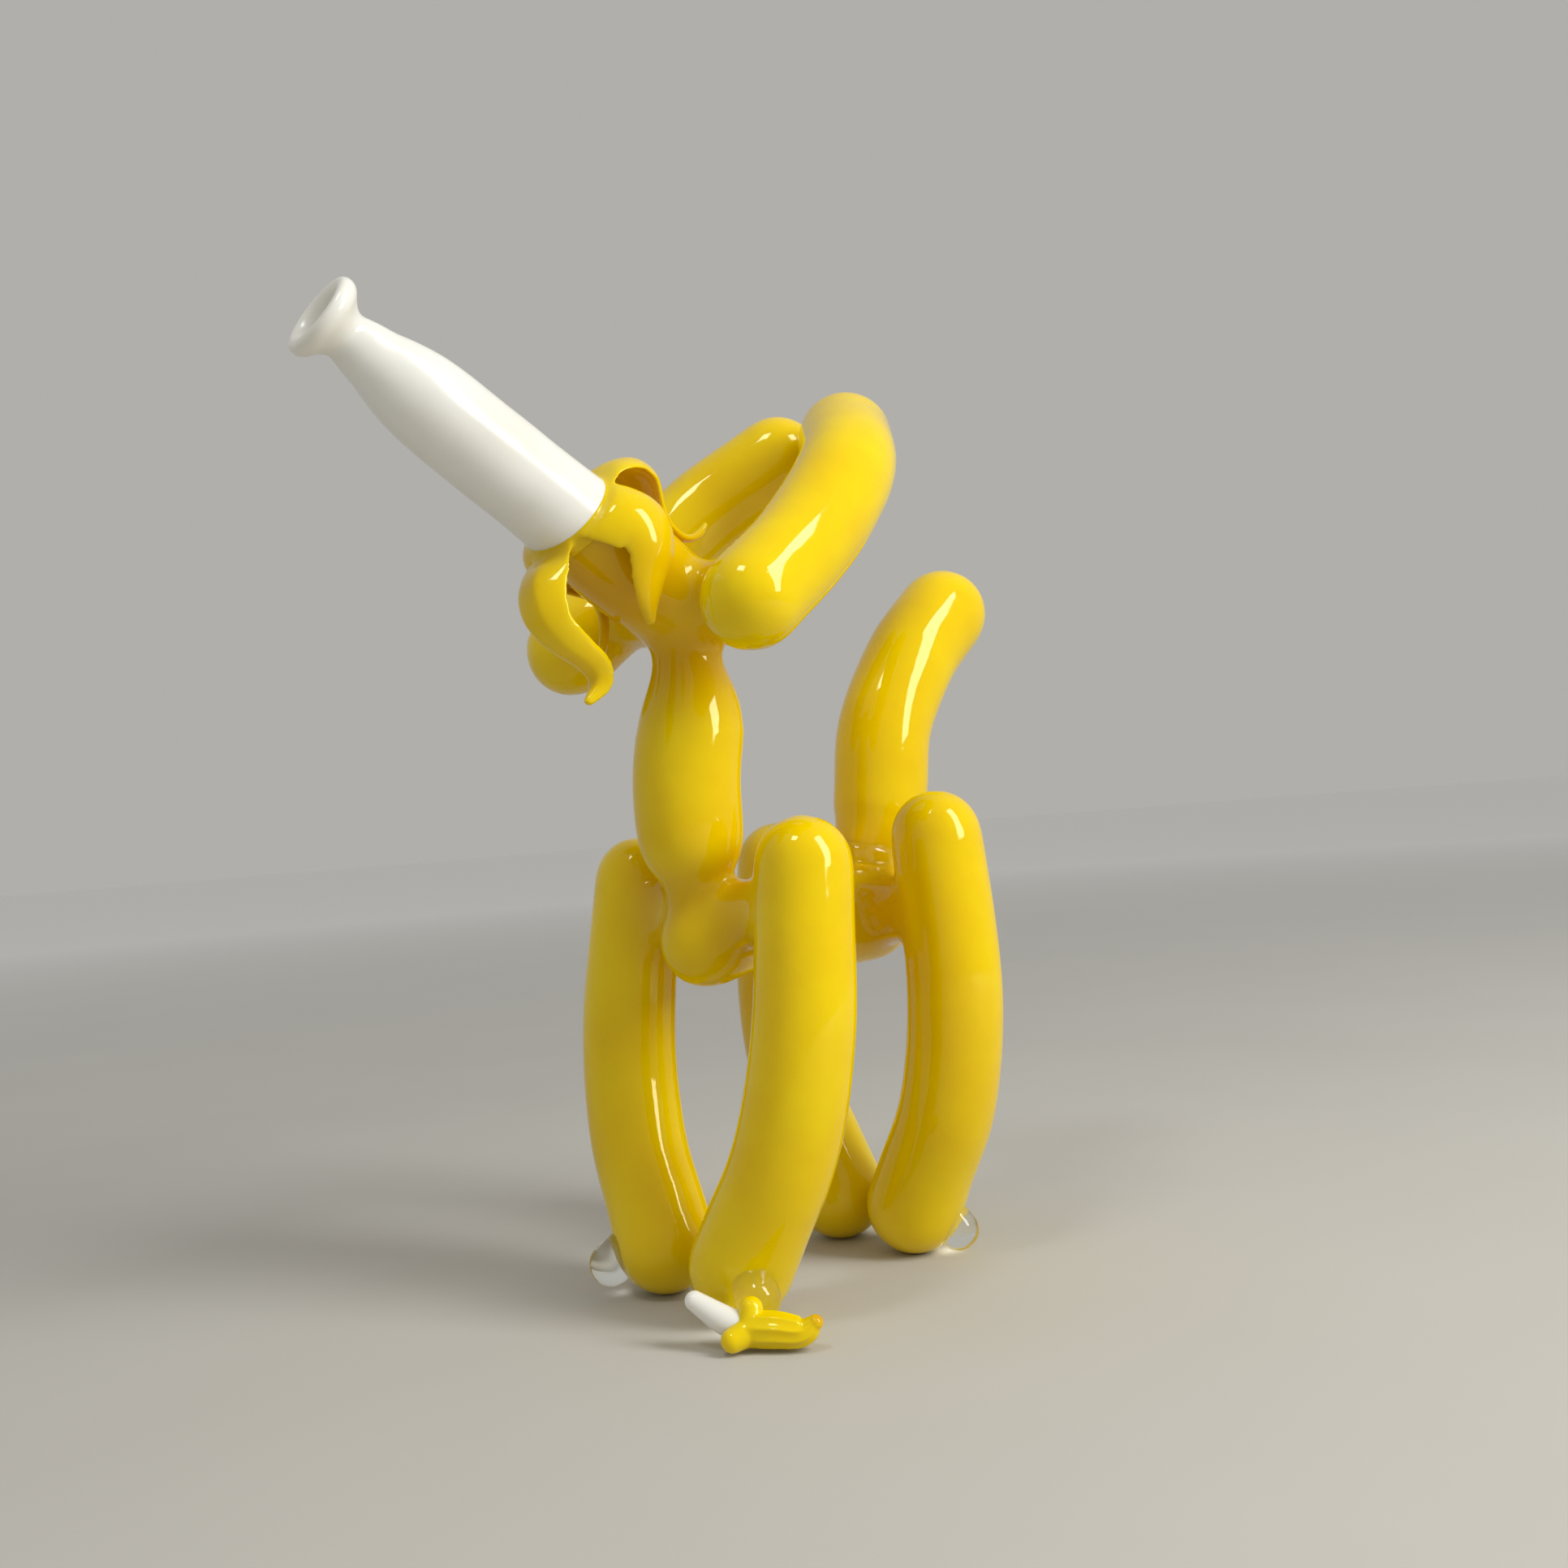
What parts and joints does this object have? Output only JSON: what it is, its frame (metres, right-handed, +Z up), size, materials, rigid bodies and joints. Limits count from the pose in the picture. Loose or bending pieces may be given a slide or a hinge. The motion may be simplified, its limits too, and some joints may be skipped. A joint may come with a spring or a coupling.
{
  "type": "glass balloon dog",
  "caption": "Standing dog ornament shaped like twisted balloons in glossy yellow glass, with an open white snout set in a peeled-back skin and small glass charm at one foot.",
  "frame": {"origin": "centre of the bounding box's underside, on the surface that the feet stand on", "axes": "+Z up; the dog faces -Y, so the snout points to -Y and up; +X is the dog's left side, where the charm hangs"},
  "size_m": [0.0908, 0.1966, 0.224],
  "materials": {
    "yellow_glass": "opaque bright yellow, high gloss",
    "white_glass": "opaque ivory white, high gloss",
    "clear_glass": "clear and polished"
  },
  "bodies": {
    "root": {"dog_body": "yellow_glass", "snout": "white_glass", "tail_ring": "clear_glass", "drop_front_left": "clear_glass", "drop_front_right": "clear_glass", "drop_rear_left": "clear_glass", "drop_rear_right": "clear_glass", "charm_fruit": "white_glass", "charm_skin": "yellow_glass"}
  },
  "joints": []
}
